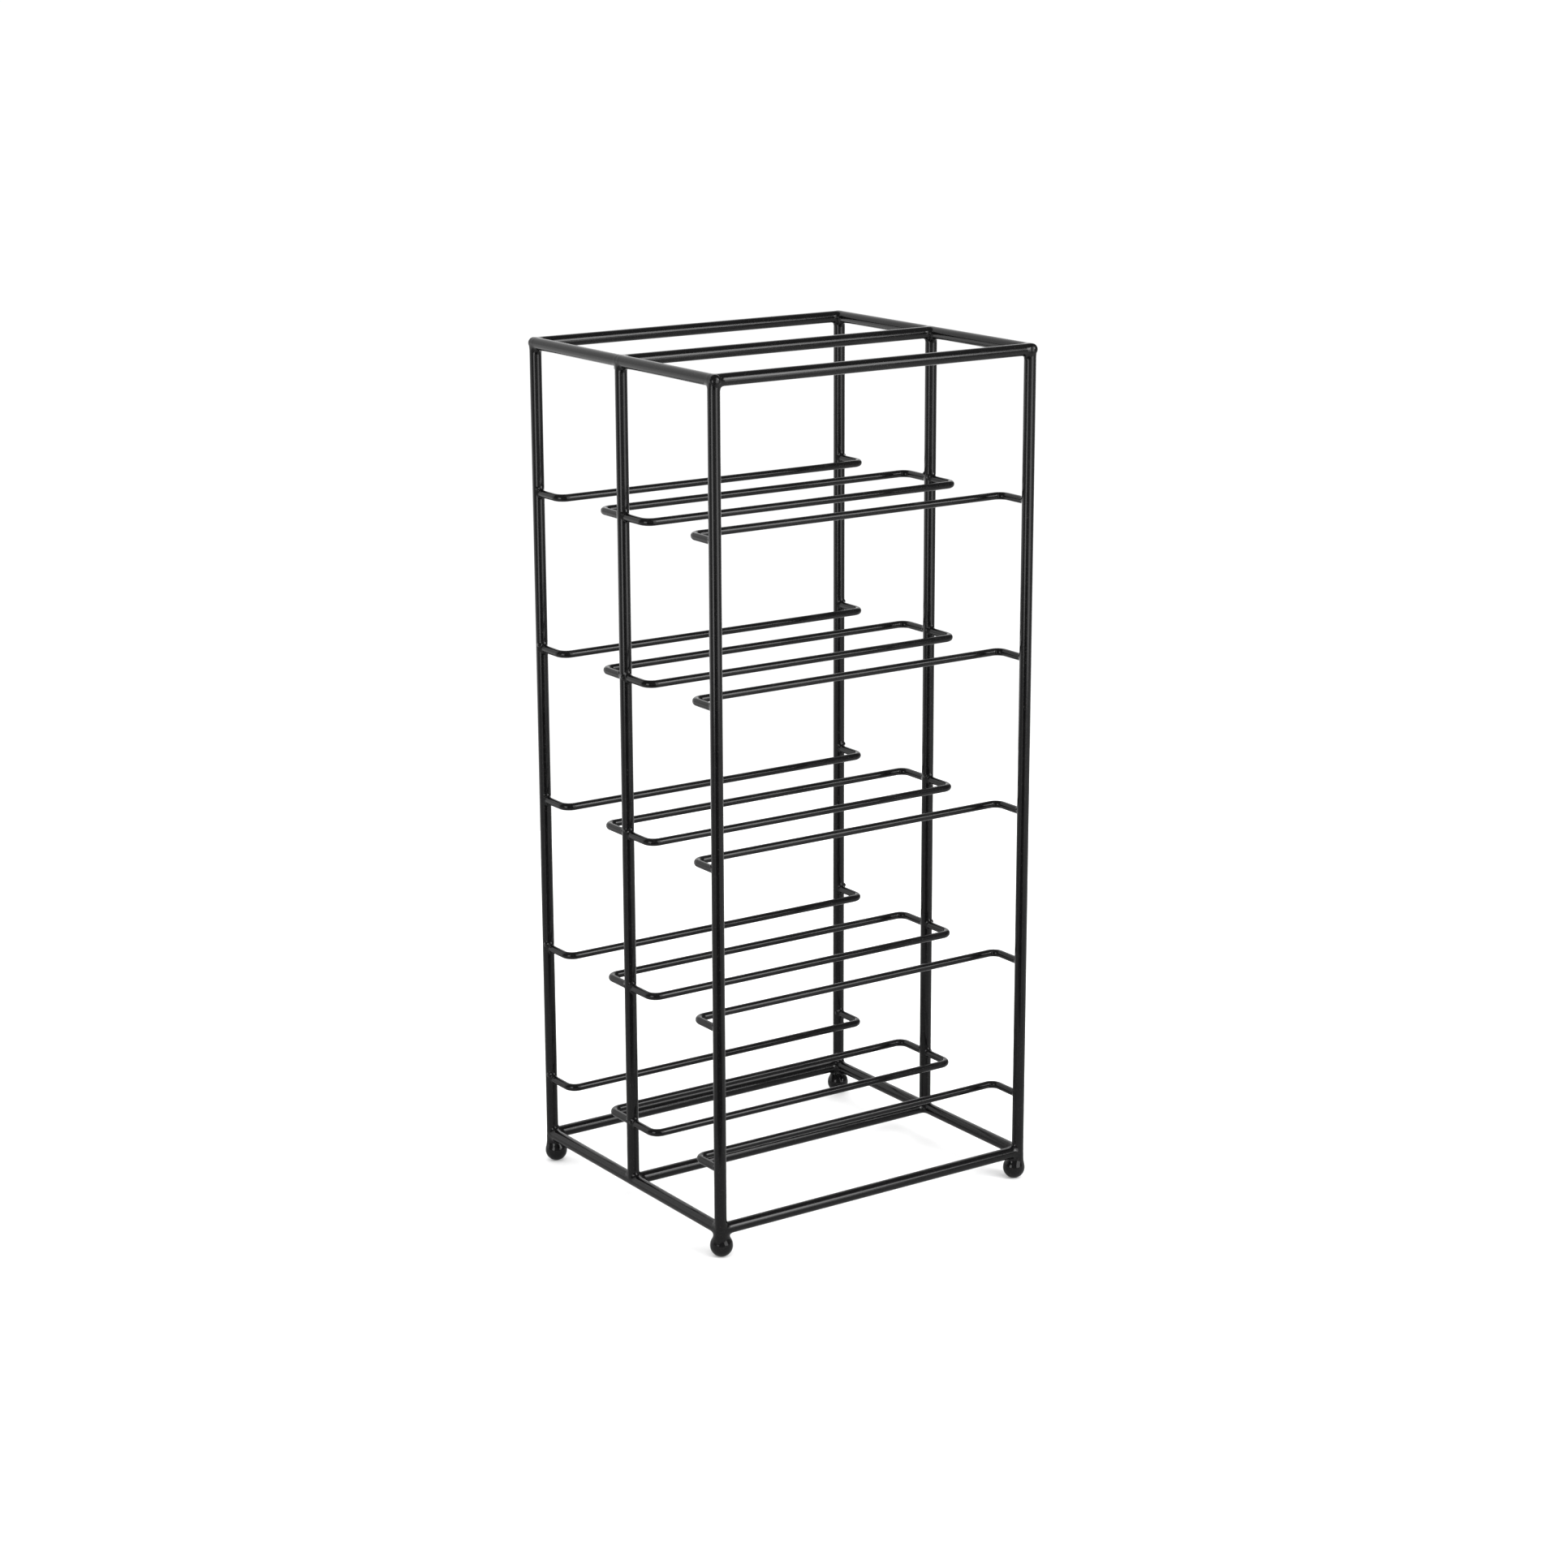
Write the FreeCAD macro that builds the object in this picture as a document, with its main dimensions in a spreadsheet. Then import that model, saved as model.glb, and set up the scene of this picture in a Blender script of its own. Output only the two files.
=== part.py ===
import FreeCAD, Part
import Sketcher
import math
import os

# Counter-top wine rack of welded round rod. +X is right, -Y is the end the bottle necks point to, +Z is up,
# and z = 0 is the surface that the four ball feet stand on. All sizes are in millimetres.

Vector = FreeCAD.Vector
Rotation = FreeCAD.Rotation
Placement = FreeCAD.Placement
Constraint = Sketcher.Constraint

document = FreeCAD.newDocument("wine_rack")
sheet = document.addObject("Spreadsheet::Sheet", "Sizes")

SHELF_COUNT = 5

# Driving dimensions: every span is between rod centre lines. The higher shelves share the height that is left
# between the two lowest shelves and the top rails, which makes their pitch 105.
SIZES = [
    ("post_span_width", 212.0),       # corner post to corner post, left to right
    ("post_span_depth", 244.0),       # corner post to corner post, front to back
    ("frame_height", 550.0),          # base rails to top rails
    ("post_diameter", 8.0),           # posts and rails are the same rod
    ("top_rail_overhang", 1.0),       # top end rails past the outer face of the corner posts
    ("top_rail_rounding", 3.4),       # rounded edge at the free ends of the top end rails
    ("shelf_rod_diameter", 5.0),
    ("shelf_rod_inset", 27.5),        # straight run of a shelf rod from its line of posts
    ("shelf_bend_radius", 6.5),       # centre line of the bend
    ("first_shelf_rise", 41.0),       # base rails to the lowest shelf
    ("second_shelf_pitch", 95.0),     # the lowest compartment is shallower than the others
    ("top_headroom", 99.0),           # highest shelf to the top rails
    ("shelf_pitch", "=(frame_height - first_shelf_rise - second_shelf_pitch - top_headroom)"
                    f" / {SHELF_COUNT - 2}"),
    ("foot_ball_diameter", 15.0),
    ("foot_flat_diameter", 4.5),      # worn flat that a ball stands on
    ("foot_neck_diameter", 11.6),
    ("foot_neck_hollow", 3.0),        # radius of the hollow curve from the ball to the neck
    ("foot_neck_length", 1.7),        # straight part of the neck, up to the weld under the base frame
    ("foot_inset", 1.7),              # foot axis inside the corner post's axis, both ways
    ("weld_root_gap", 0.4),           # gap between two rods that the weld fills
    ("frame_weld_length", 4.0),       # weld along the butted rod, posts and rails
    ("frame_weld_flare", 1.8),        # weld past the butted rod, along the rod that it is butted on
    ("frame_weld_crown", 0.4),        # weld standing proud where the two rods are flush
    ("shelf_weld_length", 2.2),       # the same for the shelf rods, all round
    ("shelf_weld_flare", 1.2),
    ("foot_weld_length", 3.0),        # weld above and below the top of a foot's neck
    ("foot_weld_flare", 0.6),         # the same weld past the neck, all round
    ("weld_sink", 1.0),               # weld centre inside the rod that is butted against
]

for row, (alias, size) in enumerate(SIZES, start=1):
    sheet.set(f"A{row}", alias)
    sheet.set(f"B{row}", str(size))
    sheet.setAlias(f"B{row}", alias)
document.recompute()

# Lengths that follow from the driving dimensions, written as expressions on the sheet.
POST_RADIUS = "Sizes.post_diameter / 2"
HALF_WIDTH = "Sizes.post_span_width / 2"
HALF_DEPTH = "Sizes.post_span_depth / 2"
FACE_REACH = "(Sizes.post_diameter / 2 + Sizes.weld_root_gap)"   # rod axis to the end of a rod butted on it
BALL_RADIUS = "(Sizes.foot_ball_diameter / 2)"
NECK_RADIUS = "(Sizes.foot_neck_diameter / 2)"
BALL_CENTRE_Z = f"sqrt({BALL_RADIUS}^2 - (Sizes.foot_flat_diameter / 2)^2)"
HOLLOW_RISE = (f"sqrt(({BALL_RADIUS} + Sizes.foot_neck_hollow)^2"
               f" - ({NECK_RADIUS} + Sizes.foot_neck_hollow)^2)")
FOOT_TOP_Z = f"({BALL_CENTRE_Z} + {HOLLOW_RISE} + Sizes.foot_neck_length)"
BASE_RAIL_Z = f"({FOOT_TOP_Z} + {FACE_REACH})"
TOP_RAIL_Z = f"({BASE_RAIL_Z} + Sizes.frame_height)"

ALONG_X = Rotation(Vector(0, 1, 0), 90)
ALONG_Y = Rotation(Vector(1, 0, 0), -90)
ALONG_Z = Rotation()
HALF_TURN = Rotation(Vector(0, 0, 1), 180)

LEFT, MIDDLE, RIGHT = -1, 0, 1
FRONT, BACK = -1, 1
SIDE_NAMES = {LEFT: "left", MIDDLE: "middle", RIGHT: "right"}
END_NAMES = {FRONT: "front", BACK: "back"}

sub_parts = {}


def post_x(side):
    return f"{side} * {HALF_WIDTH}"


def post_y(end):
    return f"{end} * {HALF_DEPTH}"


def foot_x(side):
    return f"{side} * ({HALF_WIDTH} - Sizes.foot_inset)"


def foot_y(end):
    return f"{end} * ({HALF_DEPTH} - Sizes.foot_inset)"


def shelf_z(level):
    """Height of a shelf's rod centre lines; level 1 is the lowest."""
    height = f"({BASE_RAIL_Z} + Sizes.first_shelf_rise"
    if level > 1:
        height += f" + Sizes.second_shelf_pitch + {level - 2} * Sizes.shelf_pitch"
    return height + ")"


def place(item, rotation, x, y, z):
    """Turn an object and bind its position to three expressions."""
    item.Placement = Placement(Vector(0, 0, 0), rotation)
    item.setExpression("Placement.Base.x", x)
    item.setExpression("Placement.Base.y", y)
    item.setExpression("Placement.Base.z", z)


def keep(item, label):
    """Register an object as a sub-part under its own label."""
    item.Label = label
    sub_parts[label] = item


def new_sketch(body, name, role):
    """A sketch on one of the body's own origin planes."""
    sketch = body.newObject("Sketcher::SketchObject", name)
    plane = next(feature for feature in body.Origin.OriginFeatures if feature.Role == role)
    sketch.AttachmentSupport = [(plane, "")]
    sketch.MapMode = "FlatFace"
    return sketch


def constrain(sketch, name, expression, *definition):
    """Add a dimension and bind it to the sheet."""
    index = sketch.addConstraint(Constraint(*definition))
    sketch.renameConstraint(index, name)
    sketch.setExpression(f"Constraints.{name}", expression)


def circle_sketch(body, role, diameter):
    """A rod's round section, centred on the plane's origin."""
    sketch = new_sketch(body, "section", role)
    sketch.addGeometry(Part.Circle(Vector(0, 0, 0), Vector(0, 0, 1), 1), False)
    sketch.addConstraint(Constraint("Coincident", 0, 3, -1, 1))
    constrain(sketch, "across", diameter, "Diameter", 0, 2)
    return sketch


def straight_rod(label, rotation, x, y, z, length):
    """Straight length of post rod, cut square at both ends, from (x, y, z) along the turned Z axis."""
    body = document.addObject("PartDesign::Body", label)
    section = circle_sketch(body, "XY_Plane", "Sizes.post_diameter")
    pad = body.newObject("PartDesign::Pad", "length_of_rod")
    pad.Profile = section
    pad.setExpression("Length", length)
    section.Visibility = False
    place(body, rotation, x, y, z)
    keep(body, label)
    return body


def top_end_rail(end):
    """Top rail across the front or back. It caps the posts and its free ends are rounded over."""
    label = f"top_rail_{END_NAMES[end]}"
    past_post = f"({POST_RADIUS} + Sizes.top_rail_overhang)"
    body = straight_rod(label, ALONG_X, f"-{HALF_WIDTH} - {past_post}", post_y(end), TOP_RAIL_Z,
                        f"Sizes.post_span_width + 2 * {past_post}")
    document.recompute()
    plain_rod = body.Tip
    end_edges = [f"Edge{number}" for number, edge in enumerate(plain_rod.Shape.Edges, start=1)
                 if isinstance(edge.Curve, Part.Circle)]
    rounding = body.newObject("PartDesign::Fillet", "rounded_ends")
    rounding.Base = (plain_rod, end_edges)
    rounding.setExpression("Radius", "Sizes.top_rail_rounding")


def side_rail(level_name, side, z):
    """Rail from front to back, butted on what stands at its two ends."""
    straight_rod(f"{level_name}_rail_{SIDE_NAMES[side]}", ALONG_Y, post_x(side),
                 f"-{HALF_DEPTH} + {FACE_REACH}", z, f"Sizes.post_span_depth - 2 * {FACE_REACH}")


def base_end_rail(end):
    """Base rail across the front or back, between the corner posts."""
    straight_rod(f"base_rail_{END_NAMES[end]}", ALONG_X, f"-{HALF_WIDTH} + {FACE_REACH}", post_y(end),
                 BASE_RAIL_Z, f"Sizes.post_span_width - 2 * {FACE_REACH}")


def post(side, end):
    """Upright under the top end rail: corner posts stand on a foot, middle posts on the base end rail."""
    if side == MIDDLE:
        bottom = f"({BASE_RAIL_Z} + {FACE_REACH})"
    else:
        bottom = f"({FOOT_TOP_Z} + Sizes.weld_root_gap)"
    straight_rod(f"post_{END_NAMES[end]}_{SIDE_NAMES[side]}", ALONG_Z, post_x(side), post_y(end), bottom,
                 f"{TOP_RAIL_Z} - {FACE_REACH} - {bottom}")


def foot(side, end):
    """Ball foot with a small flat under it and a thick hollowed neck, turned as one and set in from the post."""
    label = f"foot_{END_NAMES[end]}_{SIDE_NAMES[side]}"
    body = document.addObject("PartDesign::Body", label)
    sketch = new_sketch(body, "outline", "XZ_Plane")

    # First outline from the sheet's numbers, so that the solver starts on the right side of each arc.
    ball = sheet.foot_ball_diameter / 2
    neck = sheet.foot_neck_diameter / 2
    hollow = sheet.foot_neck_hollow
    flat = sheet.foot_flat_diameter / 2
    centre_z = math.sqrt(ball ** 2 - flat ** 2)
    hollow_z = centre_z + math.sqrt((ball + hollow) ** 2 - (neck + hollow) ** 2)
    top_z = hollow_z + sheet.foot_neck_length
    join = math.atan2(hollow_z - centre_z, neck + hollow)
    sketch.addGeometry([
        Part.LineSegment(Vector(0, 0, 0), Vector(flat, 0, 0)),
        Part.ArcOfCircle(Part.Circle(Vector(0, centre_z, 0), Vector(0, 0, 1), ball),
                         math.atan2(-centre_z, flat), join),
        Part.ArcOfCircle(Part.Circle(Vector(neck + hollow, hollow_z, 0), Vector(0, 0, 1), hollow),
                         math.pi, math.pi + join),
        Part.LineSegment(Vector(neck, hollow_z, 0), Vector(neck, top_z, 0)),
        Part.LineSegment(Vector(neck, top_z, 0), Vector(0, top_z, 0)),
        Part.LineSegment(Vector(0, top_z, 0), Vector(0, 0, 0)),
    ], False)
    sketch.addConstraint([
        Constraint("Coincident", 0, 1, -1, 1),
        Constraint("Horizontal", 0),
        Constraint("Coincident", 0, 2, 1, 1),
        Constraint("PointOnObject", 1, 3, -2),
        Constraint("Tangent", 1, 2, 2, 2),
        Constraint("Tangent", 2, 1, 3, 1),
        Constraint("Vertical", 3),
        Constraint("Coincident", 3, 2, 4, 1),
        Constraint("Horizontal", 4),
        Constraint("Coincident", 4, 2, 5, 1),
        Constraint("Coincident", 5, 2, 0, 1),
        Constraint("Vertical", 5),
    ])
    constrain(sketch, "flat", "Sizes.foot_flat_diameter / 2", "DistanceX", 0, 1, 0, 2, flat)
    constrain(sketch, "ball", BALL_RADIUS, "Radius", 1, ball)
    constrain(sketch, "hollow", "Sizes.foot_neck_hollow", "Radius", 2, hollow)
    constrain(sketch, "neck", NECK_RADIUS, "DistanceX", -1, 1, 4, 1, neck)
    constrain(sketch, "neck_length", "Sizes.foot_neck_length", "DistanceY", 3, 1, 3, 2, top_z - hollow_z)

    turned = body.newObject("PartDesign::Revolution", "turned")
    turned.Profile = sketch
    turned.ReferenceAxis = (sketch, ["V_Axis"])
    turned.Angle = 360
    place(body, ALONG_Z, foot_x(side), foot_y(end), "0")
    keep(body, label)


def shelf_rod(level, bay, position):
    """U-shaped rod of a shelf: a leg out from each post of a pair, two bends and a run from front to back.

    A bay has an outer rod, from its corner posts, and an inner one, from the middle posts.
    """
    bay_side = LEFT if bay == "left" else RIGHT
    column = bay_side if position == "outer" else MIDDLE
    faces_right = (bay == "left") == (position == "outer")
    label = f"shelf_rod_{level}_{bay}_{position}"
    body = document.addObject("PartDesign::Body", label)

    inset = sheet.shelf_rod_inset
    bend = sheet.shelf_bend_radius
    depth = sheet.post_span_depth
    start = sheet.post_diameter / 2 + sheet.weld_root_gap
    path = new_sketch(body, "path", "XY_Plane")
    path.addGeometry([
        Part.LineSegment(Vector(start, 0, 0), Vector(inset - bend, 0, 0)),
        Part.ArcOfCircle(Part.Circle(Vector(inset - bend, bend, 0), Vector(0, 0, 1), bend), -math.pi / 2, 0),
        Part.LineSegment(Vector(inset, bend, 0), Vector(inset, depth - bend, 0)),
        Part.ArcOfCircle(Part.Circle(Vector(inset - bend, depth - bend, 0), Vector(0, 0, 1), bend),
                         0, math.pi / 2),
        Part.LineSegment(Vector(inset - bend, depth, 0), Vector(start, depth, 0)),
    ], False)
    path.addConstraint([
        Constraint("PointOnObject", 0, 1, -1),
        Constraint("Horizontal", 0),
        Constraint("Tangent", 0, 2, 1, 1),
        Constraint("Tangent", 1, 2, 2, 1),
        Constraint("Vertical", 2),
        Constraint("Tangent", 2, 2, 3, 1),
        Constraint("Tangent", 3, 2, 4, 1),
        Constraint("Vertical", 0, 1, 4, 2),
        Constraint("Equal", 1, 3),
    ])
    constrain(path, "leg_start", FACE_REACH, "DistanceX", -1, 1, 0, 1, start)
    constrain(path, "inset", "Sizes.shelf_rod_inset", "DistanceX", -1, 1, 2, 1, inset)
    constrain(path, "bend", "Sizes.shelf_bend_radius", "Radius", 1, bend)
    constrain(path, "span", "Sizes.post_span_depth", "DistanceY", -1, 1, 4, 2, depth)

    section = circle_sketch(body, "YZ_Plane", "Sizes.shelf_rod_diameter")
    section.setExpression("AttachmentOffset.Base.z", FACE_REACH)
    pipe = body.newObject("PartDesign::AdditivePipe", "bent_rod")
    pipe.Profile = section
    pipe.Spine = (path, [f"Edge{number}" for number in range(1, 6)])
    if faces_right:
        place(body, ALONG_Z, post_x(column), post_y(FRONT), shelf_z(level))
    else:
        place(body, HALF_TURN, post_x(column), post_y(BACK), shelf_z(level))
    keep(body, label)


def bead(rotation, x, y, z, length, local_x_radius, local_y_radius):
    """Rounded lump of weld metal about the end of a butted rod, whose turned Z axis is the lump's."""
    lump = document.addObject("Part::Ellipsoid", "bead")
    lump.setExpression("Radius1", f"{length} + Sizes.weld_sink")
    lump.setExpression("Radius2", local_x_radius)
    lump.setExpression("Radius3", local_y_radius)
    place(lump, rotation, x, y, z)
    return lump


def joined(*lumps):
    """Beads that run into each other at one joint."""
    together = document.addObject("Part::MultiFuse", "joined_beads")
    together.Shapes = lumps
    return together


def trimmed(lump, *rods):
    """What is left of a lump of weld outside the rods that it joins."""
    for label in rods:
        cut = document.addObject("Part::Cut", "trimmed_bead")
        cut.Base = lump
        cut.Tool = sub_parts[label]
        lump = cut
    return lump


def weld_group(label, beads):
    """Welds of one set of joints, kept together as separate solids."""
    group = document.addObject("Part::Compound", label)
    group.Links = beads
    keep(group, label)


def frame_bead(rotation, x, y, z, flares_in_local_x=True):
    """Bead between two rods of one diameter: wide along the rod it is butted on, nearly flush across it."""
    radii = [f"{POST_RADIUS} + Sizes.frame_weld_flare", f"{POST_RADIUS} + Sizes.frame_weld_crown"]
    if not flares_in_local_x:
        radii.reverse()
    return bead(rotation, x, y, z, "Sizes.frame_weld_length", *radii)


def bead_offset(direction):
    """From the axis of the rod that is butted against to the middle of the bead, along one axis."""
    return f"{direction} * ({POST_RADIUS} - Sizes.weld_sink)"


def end_rail_joint(side, end, level_name, rail_z, post_direction):
    """Joint on a continuous end rail: a side rail from the inside and a post from above or below."""
    inward = f"({post_y(end)} + {bead_offset(-end)})"
    on_rail = frame_bead(ALONG_Y, post_x(side), inward, rail_z)
    on_post = frame_bead(ALONG_Z, post_x(side), post_y(end), f"{rail_z} + {bead_offset(post_direction)}")
    return trimmed(joined(on_rail, on_post),
                   f"{level_name}_rail_{END_NAMES[end]}",
                   f"{level_name}_rail_{SIDE_NAMES[side]}",
                   f"post_{END_NAMES[end]}_{SIDE_NAMES[side]}")


def base_corner_joint(side, end):
    """Joint at the foot of a corner post: both base rails on the post, and the foot under all three."""
    across = frame_bead(ALONG_X, f"{post_x(side)} + {bead_offset(-side)}", post_y(end), BASE_RAIL_Z)
    inward = frame_bead(ALONG_Y, post_x(side), f"{post_y(end)} + {bead_offset(-end)}", BASE_RAIL_Z,
                        flares_in_local_x=False)
    radius = f"{NECK_RADIUS} + Sizes.foot_weld_flare"
    over_foot = bead(ALONG_Z, foot_x(side), foot_y(end), FOOT_TOP_Z, "Sizes.foot_weld_length", radius, radius)
    return trimmed(joined(across, inward, over_foot),
                   f"post_{END_NAMES[end]}_{SIDE_NAMES[side]}",
                   f"foot_{END_NAMES[end]}_{SIDE_NAMES[side]}",
                   f"base_rail_{END_NAMES[end]}",
                   f"base_rail_{SIDE_NAMES[side]}")


def shelf_joint(level, bay, position, end):
    """Joint of one leg of a shelf rod on its post."""
    bay_side = LEFT if bay == "left" else RIGHT
    column = bay_side if position == "outer" else MIDDLE
    direction = -bay_side if position == "outer" else bay_side
    radius = "Sizes.shelf_rod_diameter / 2 + Sizes.shelf_weld_flare"
    lump = bead(ALONG_X, f"{post_x(column)} + {bead_offset(direction)}", post_y(end), shelf_z(level),
                "Sizes.shelf_weld_length", radius, radius)
    return trimmed(lump, f"post_{END_NAMES[end]}_{SIDE_NAMES[column]}",
                   f"shelf_rod_{level}_{bay}_{position}")


# Top and base frames
for end in (FRONT, BACK):
    top_end_rail(end)
    base_end_rail(end)
for side in (LEFT, MIDDLE, RIGHT):
    side_rail("top", side, TOP_RAIL_Z)
    side_rail("base", side, BASE_RAIL_Z)

# Posts and feet
for end in (FRONT, BACK):
    for side in (LEFT, MIDDLE, RIGHT):
        post(side, end)
    for side in (LEFT, RIGHT):
        foot(side, end)

# Shelf rods, two to a bay on every shelf
SHELF_RODS = [(level, bay, position) for level in range(1, SHELF_COUNT + 1)
              for bay, position in (("left", "outer"), ("left", "inner"), ("right", "inner"), ("right", "outer"))]
for level, bay, position in SHELF_RODS:
    shelf_rod(level, bay, position)
document.recompute()

# Welds
weld_group("weld_top_frame", [end_rail_joint(side, end, "top", TOP_RAIL_Z, -1)
                              for end in (FRONT, BACK) for side in (LEFT, MIDDLE, RIGHT)])
weld_group("weld_base_frame", [base_corner_joint(side, end) for end in (FRONT, BACK) for side in (LEFT, RIGHT)]
           + [end_rail_joint(MIDDLE, end, "base", BASE_RAIL_Z, 1) for end in (FRONT, BACK)])
for shelf in range(1, SHELF_COUNT + 1):
    weld_group(f"weld_shelf_{shelf}", [shelf_joint(level, bay, position, end)
                                       for level, bay, position in SHELF_RODS if level == shelf
                                       for end in (FRONT, BACK)])
document.recompute()

# Every object has to be sound before anything is written.
for item in document.Objects:
    if "Invalid" in item.State or "Error" in item.State:
        raise RuntimeError(f"{item.Name} failed: {item.State}")
for label, item in sub_parts.items():
    if item.Shape.isNull() or not item.Shape.isValid() or not item.Shape.Solids:
        raise RuntimeError(f"{label} has no sound solid")

os.makedirs("parts", exist_ok=True)
for label, item in sub_parts.items():
    item.Shape.exportStep(f"parts/{label}.step")
print(len(sub_parts), "sub-parts written")
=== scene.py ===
import bmesh
import bpy
import math
import random
from mathutils import Euler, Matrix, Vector


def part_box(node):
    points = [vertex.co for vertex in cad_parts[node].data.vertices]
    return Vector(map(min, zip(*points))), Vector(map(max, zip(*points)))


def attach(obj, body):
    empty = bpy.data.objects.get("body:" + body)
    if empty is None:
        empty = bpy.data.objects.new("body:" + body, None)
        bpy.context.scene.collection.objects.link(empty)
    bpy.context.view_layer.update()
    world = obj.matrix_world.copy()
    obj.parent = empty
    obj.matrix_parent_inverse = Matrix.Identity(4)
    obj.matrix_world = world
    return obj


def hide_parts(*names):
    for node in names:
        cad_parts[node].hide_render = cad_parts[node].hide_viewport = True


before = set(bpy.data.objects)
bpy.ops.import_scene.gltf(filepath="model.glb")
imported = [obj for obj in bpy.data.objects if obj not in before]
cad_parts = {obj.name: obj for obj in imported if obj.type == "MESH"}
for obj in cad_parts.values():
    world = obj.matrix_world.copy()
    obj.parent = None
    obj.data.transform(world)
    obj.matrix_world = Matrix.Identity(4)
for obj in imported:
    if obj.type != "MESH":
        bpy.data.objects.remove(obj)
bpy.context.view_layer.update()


# Rails and posts
# Sixteen straight lengths of 8 mm round steel rod: five rails in the top frame, five in the base frame, and
# six posts. Each is sawn from straightened wire and powder coated black once the rack is welded up.

MILLIMETRE = 0.001
ROD_SIDES = 64
SAWN_EDGE = 0.3 * MILLIMETRE
ROUNDED_EDGE = 3.4 * MILLIMETRE
EDGE_STEPS = 8
SHARP_ANGLE = math.radians(60)
ROUNDED_RAILS = ("top_rail_front", "top_rail_back")
RAIL_PLACES = ("front", "back", "left", "middle", "right")
POST_PLACES = ("front_left", "front_middle", "front_right", "back_left", "back_middle", "back_right")

THIN_FILM = (0.0020, 0.0020, 0.0022, 1.0)
THICK_FILM = (0.0044, 0.0043, 0.0044, 1.0)
DUST_GREY = (0.045, 0.043, 0.041, 1.0)
RUBBED_GREY = (0.016, 0.016, 0.016, 1.0)
COAT_IOR = 1.31
PEEL_SCALE = 900.0
GRAIN_SCALE = 5200.0
PATCH_SCALE = 70.0
DUST_SCALE = 1900.0
STREAK_SCALE = 1500.0
STREAK_STRETCH = (1.0, 0.06, 1.0)
UP = (0.0, 0.0, 1.0)


class Wire:
    """A value on its way through a node tree. Sums on it add the Math nodes that work them out."""

    def __init__(self, bench, socket):
        self.bench = bench
        self.socket = socket

    def __add__(self, other):
        return self.bench.math("ADD", self, other)

    def __sub__(self, other):
        return self.bench.math("SUBTRACT", self, other)

    def __mul__(self, other):
        return self.bench.math("MULTIPLY", self, other)

    def __truediv__(self, other):
        return self.bench.math("DIVIDE", self, other)

    def __radd__(self, other):
        return self.bench.math("ADD", other, self)

    def __rsub__(self, other):
        return self.bench.math("SUBTRACT", other, self)

    def __rmul__(self, other):
        return self.bench.math("MULTIPLY", other, self)

    def __rtruediv__(self, other):
        return self.bench.math("DIVIDE", other, self)


class Bench:
    """A node tree being put together."""

    def __init__(self, tree):
        self.tree = tree

    def add(self, kind, settings=None, sockets=None, output=0):
        """Adds a node, makes its settings, then fills its sockets with numbers or wires."""
        node = self.tree.nodes.new(kind)
        for name, setting in (settings or {}).items():
            setattr(node, name, setting)
        for name, value in (sockets or {}).items():
            if isinstance(value, Wire):
                self.tree.links.new(value.socket, node.inputs[name])
            else:
                node.inputs[name].default_value = value
        return Wire(self, node.outputs[output]) if node.outputs else node

    def math(self, operation, first, second=0.0, third=0.0):
        """Math node on numbers or wires."""
        return self.add("ShaderNodeMath", {"operation": operation}, {0: first, 1: second, 2: third})

    def vector(self, operation, first, second=(0.0, 0.0, 0.0), scale=1.0):
        """Vector Math node, whose result is a number for a product, a length or a distance."""
        output = "Value" if operation in ("DOT_PRODUCT", "LENGTH", "DISTANCE") else "Vector"
        sockets = {0: first, "Scale": scale} if operation == "SCALE" else {0: first, 1: second}
        return self.add("ShaderNodeVectorMath", {"operation": operation}, sockets, output)

    def blend(self, share, first, second):
        """Colour between first and second."""
        return self.add("ShaderNodeMix", {"data_type": "RGBA"}, {0: share, 6: first, 7: second}, 2)

    def ramp(self, value, low, high):
        """0 below low, 1 above high and smooth between them."""
        return self.add("ShaderNodeMapRange", {"interpolation_type": "SMOOTHSTEP"},
                        {"Value": value, "From Min": low, "From Max": high})

    def cloud(self, place, scale, detail=2.0):
        """Soft noise from 0 to 1, with scale in clouds to the metre."""
        return self.add("ShaderNodeTexNoise", {}, {"Vector": place, "Scale": scale, "Detail": detail})


def new_tree(name, inputs):
    """Geometry Nodes tree with named inputs, as a bench and its input wires by name."""
    tree = bpy.data.node_groups.new(name, "GeometryNodeTree")
    kinds = {"float": "NodeSocketFloat", "vector": "NodeSocketVector", "count": "NodeSocketInt",
             "material": "NodeSocketMaterial"}
    for label, kind in inputs.items():
        tree.interface.new_socket(label, in_out="INPUT", socket_type=kinds[kind])
    tree.interface.new_socket("Piece", in_out="OUTPUT", socket_type="NodeSocketGeometry")
    bench = Bench(tree)
    entry = tree.nodes.new("NodeGroupInput")
    return bench, {label: Wire(bench, entry.outputs[label]) for label in inputs}


def close_tree(bench, shape, material):
    """Last nodes of a tree: smooth shading, real geometry and the finish."""
    smooth = bench.add("GeometryNodeSetShadeSmooth", {}, {"Geometry": shape})
    real = bench.add("GeometryNodeRealizeInstances", {}, {"Geometry": smooth})
    finished = bench.add("GeometryNodeSetMaterial", {}, {"Geometry": real, "Material": material})
    bench.add("NodeGroupOutput", {}, {0: finished})
    return bench.tree


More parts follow.
